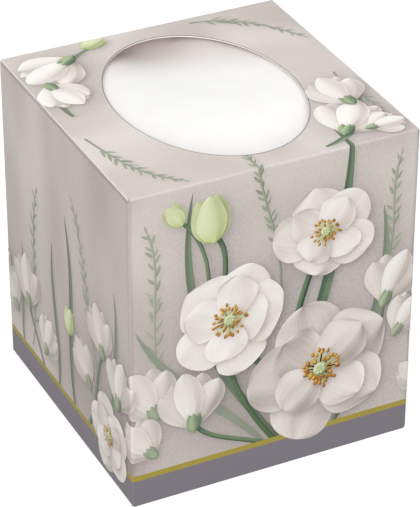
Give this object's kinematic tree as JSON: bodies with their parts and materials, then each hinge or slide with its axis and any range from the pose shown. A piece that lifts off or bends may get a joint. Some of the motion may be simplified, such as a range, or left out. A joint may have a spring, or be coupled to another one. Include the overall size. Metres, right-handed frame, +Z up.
{
  "type": "tissue box",
  "caption": "Upright square carton with an oval opening in its top, holding a clip of interfolded tissues bent over inside it.",
  "frame": {"origin": "middle of the base, on the surface that the carton stands on", "axes": "+Z up, -Y towards the front panel that the top panel is hinged on, +X to the right seen from the front"},
  "size_m": [0.1112, 0.1112, 0.127],
  "materials": {
    "printed_board": "smooth printed board, satin",
    "tissue_paper": "soft matt tissue"
  },
  "bodies": {
    "root": {"carton": "printed_board", "tissue_stack": "tissue_paper"}
  },
  "joints": []
}
